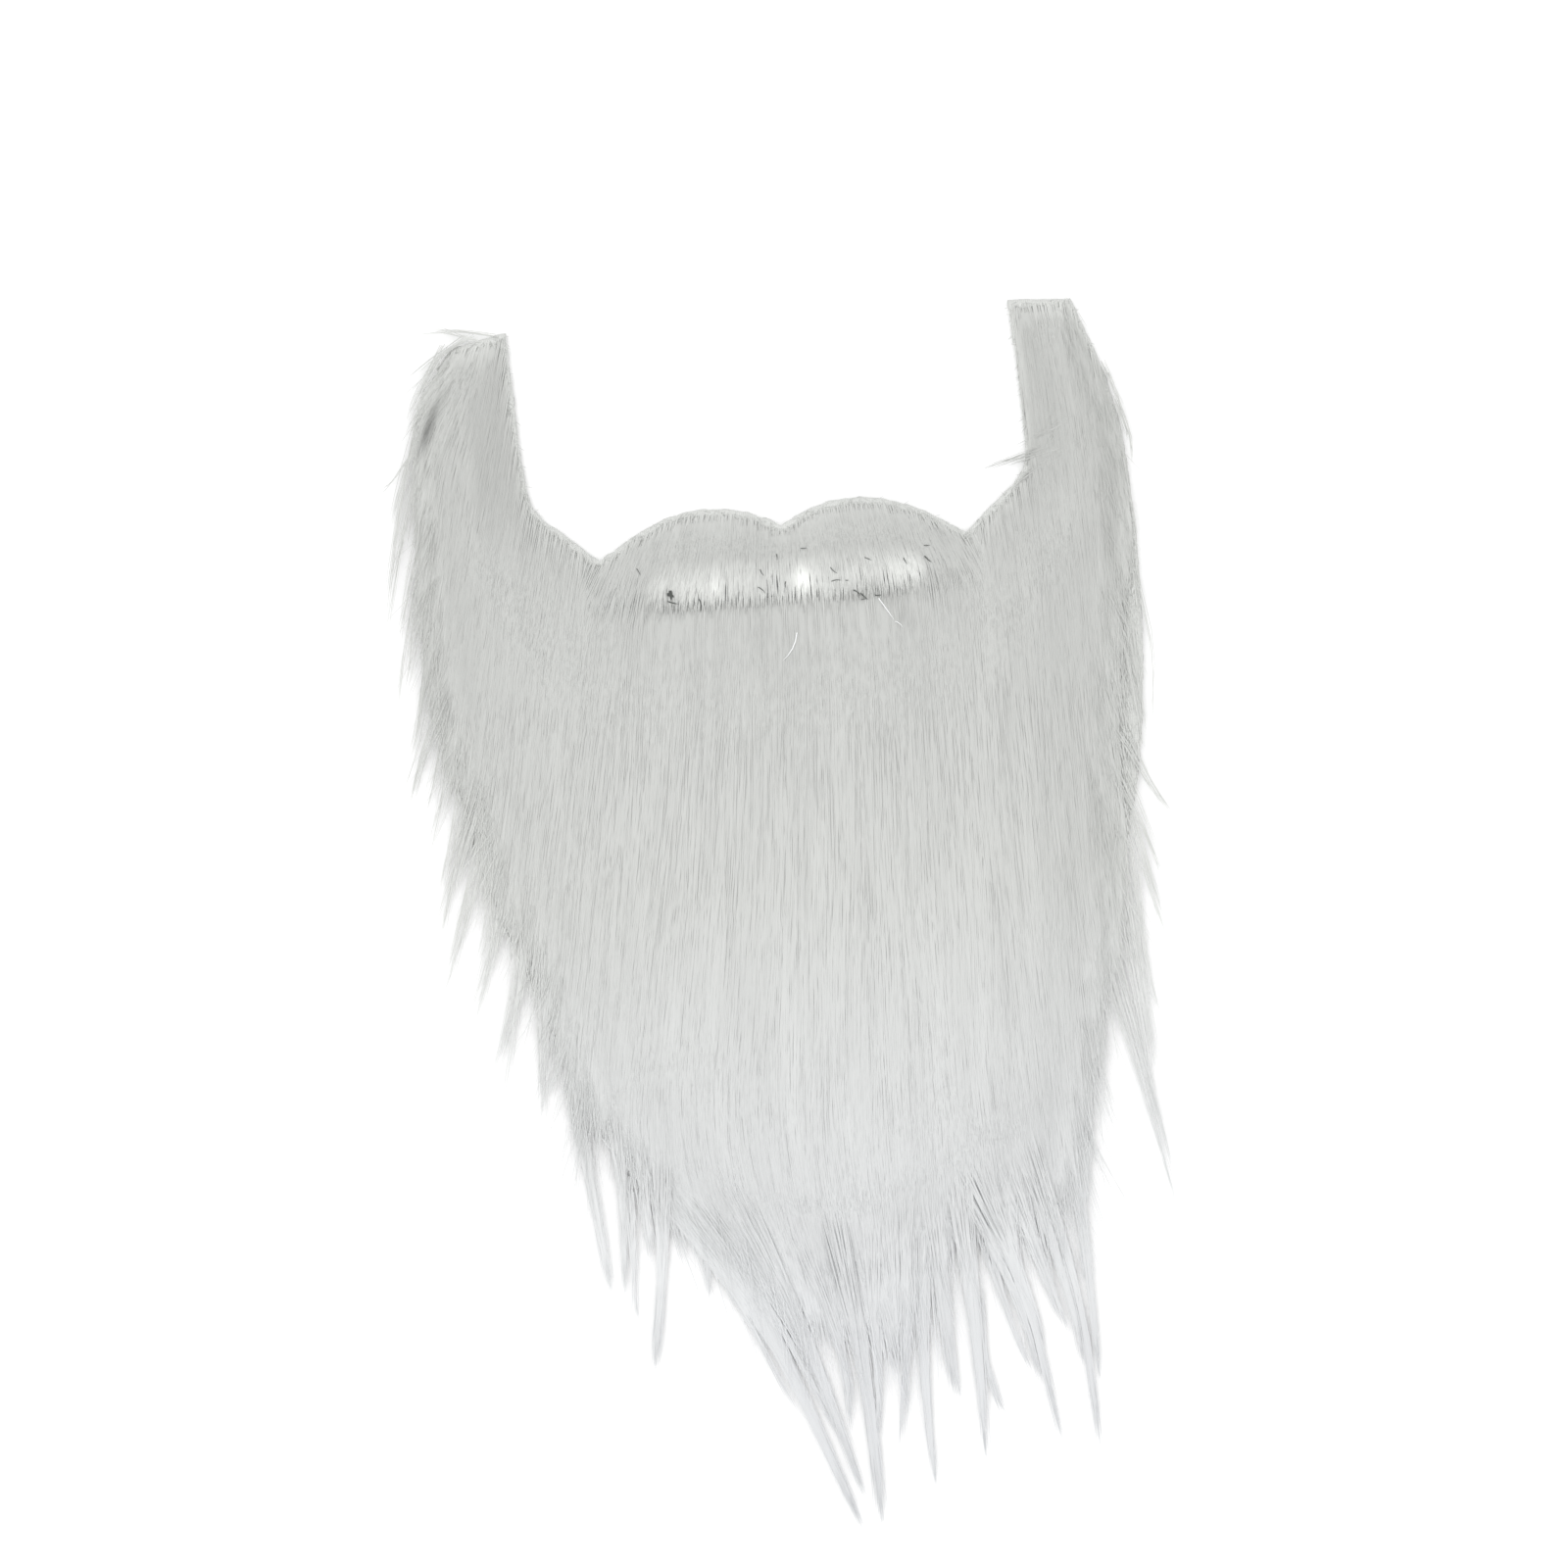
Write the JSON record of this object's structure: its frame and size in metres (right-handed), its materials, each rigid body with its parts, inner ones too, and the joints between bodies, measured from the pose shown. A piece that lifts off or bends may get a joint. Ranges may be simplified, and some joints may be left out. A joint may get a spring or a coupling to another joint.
{
  "type": "fake beard",
  "caption": "Long full fake beard with moustache and sideburns, of shaggy white fur pile on a cut cloth backing with a mouth slit.",
  "frame": {"origin": "On the underside of the backing cloth, in the middle of the upper lip between the moustache's centre notch and the mouth slit.", "axes": "+Z out of the fur, away from the face; +Y from the tips of the beard up to the sideburns; +X to the right as seen from the front."},
  "size_m": [0.2199, 0.344, 0.0171],
  "materials": {
    "backing": "matt knitted backing cloth, off-white",
    "moustache": "short dense silky fur pile, pale grey-white",
    "sideburns": "silky long fur pile, pale grey-white",
    "beard": "silky long fur pile in locks, white with cool tips"
  },
  "bodies": {
    "root": {"backing_cloth": "backing", "moustache_fur": "moustache", "sideburn_fur_left": "sideburns", "sideburn_fur_right": "sideburns", "beard_fur": "beard"}
  },
  "joints": []
}
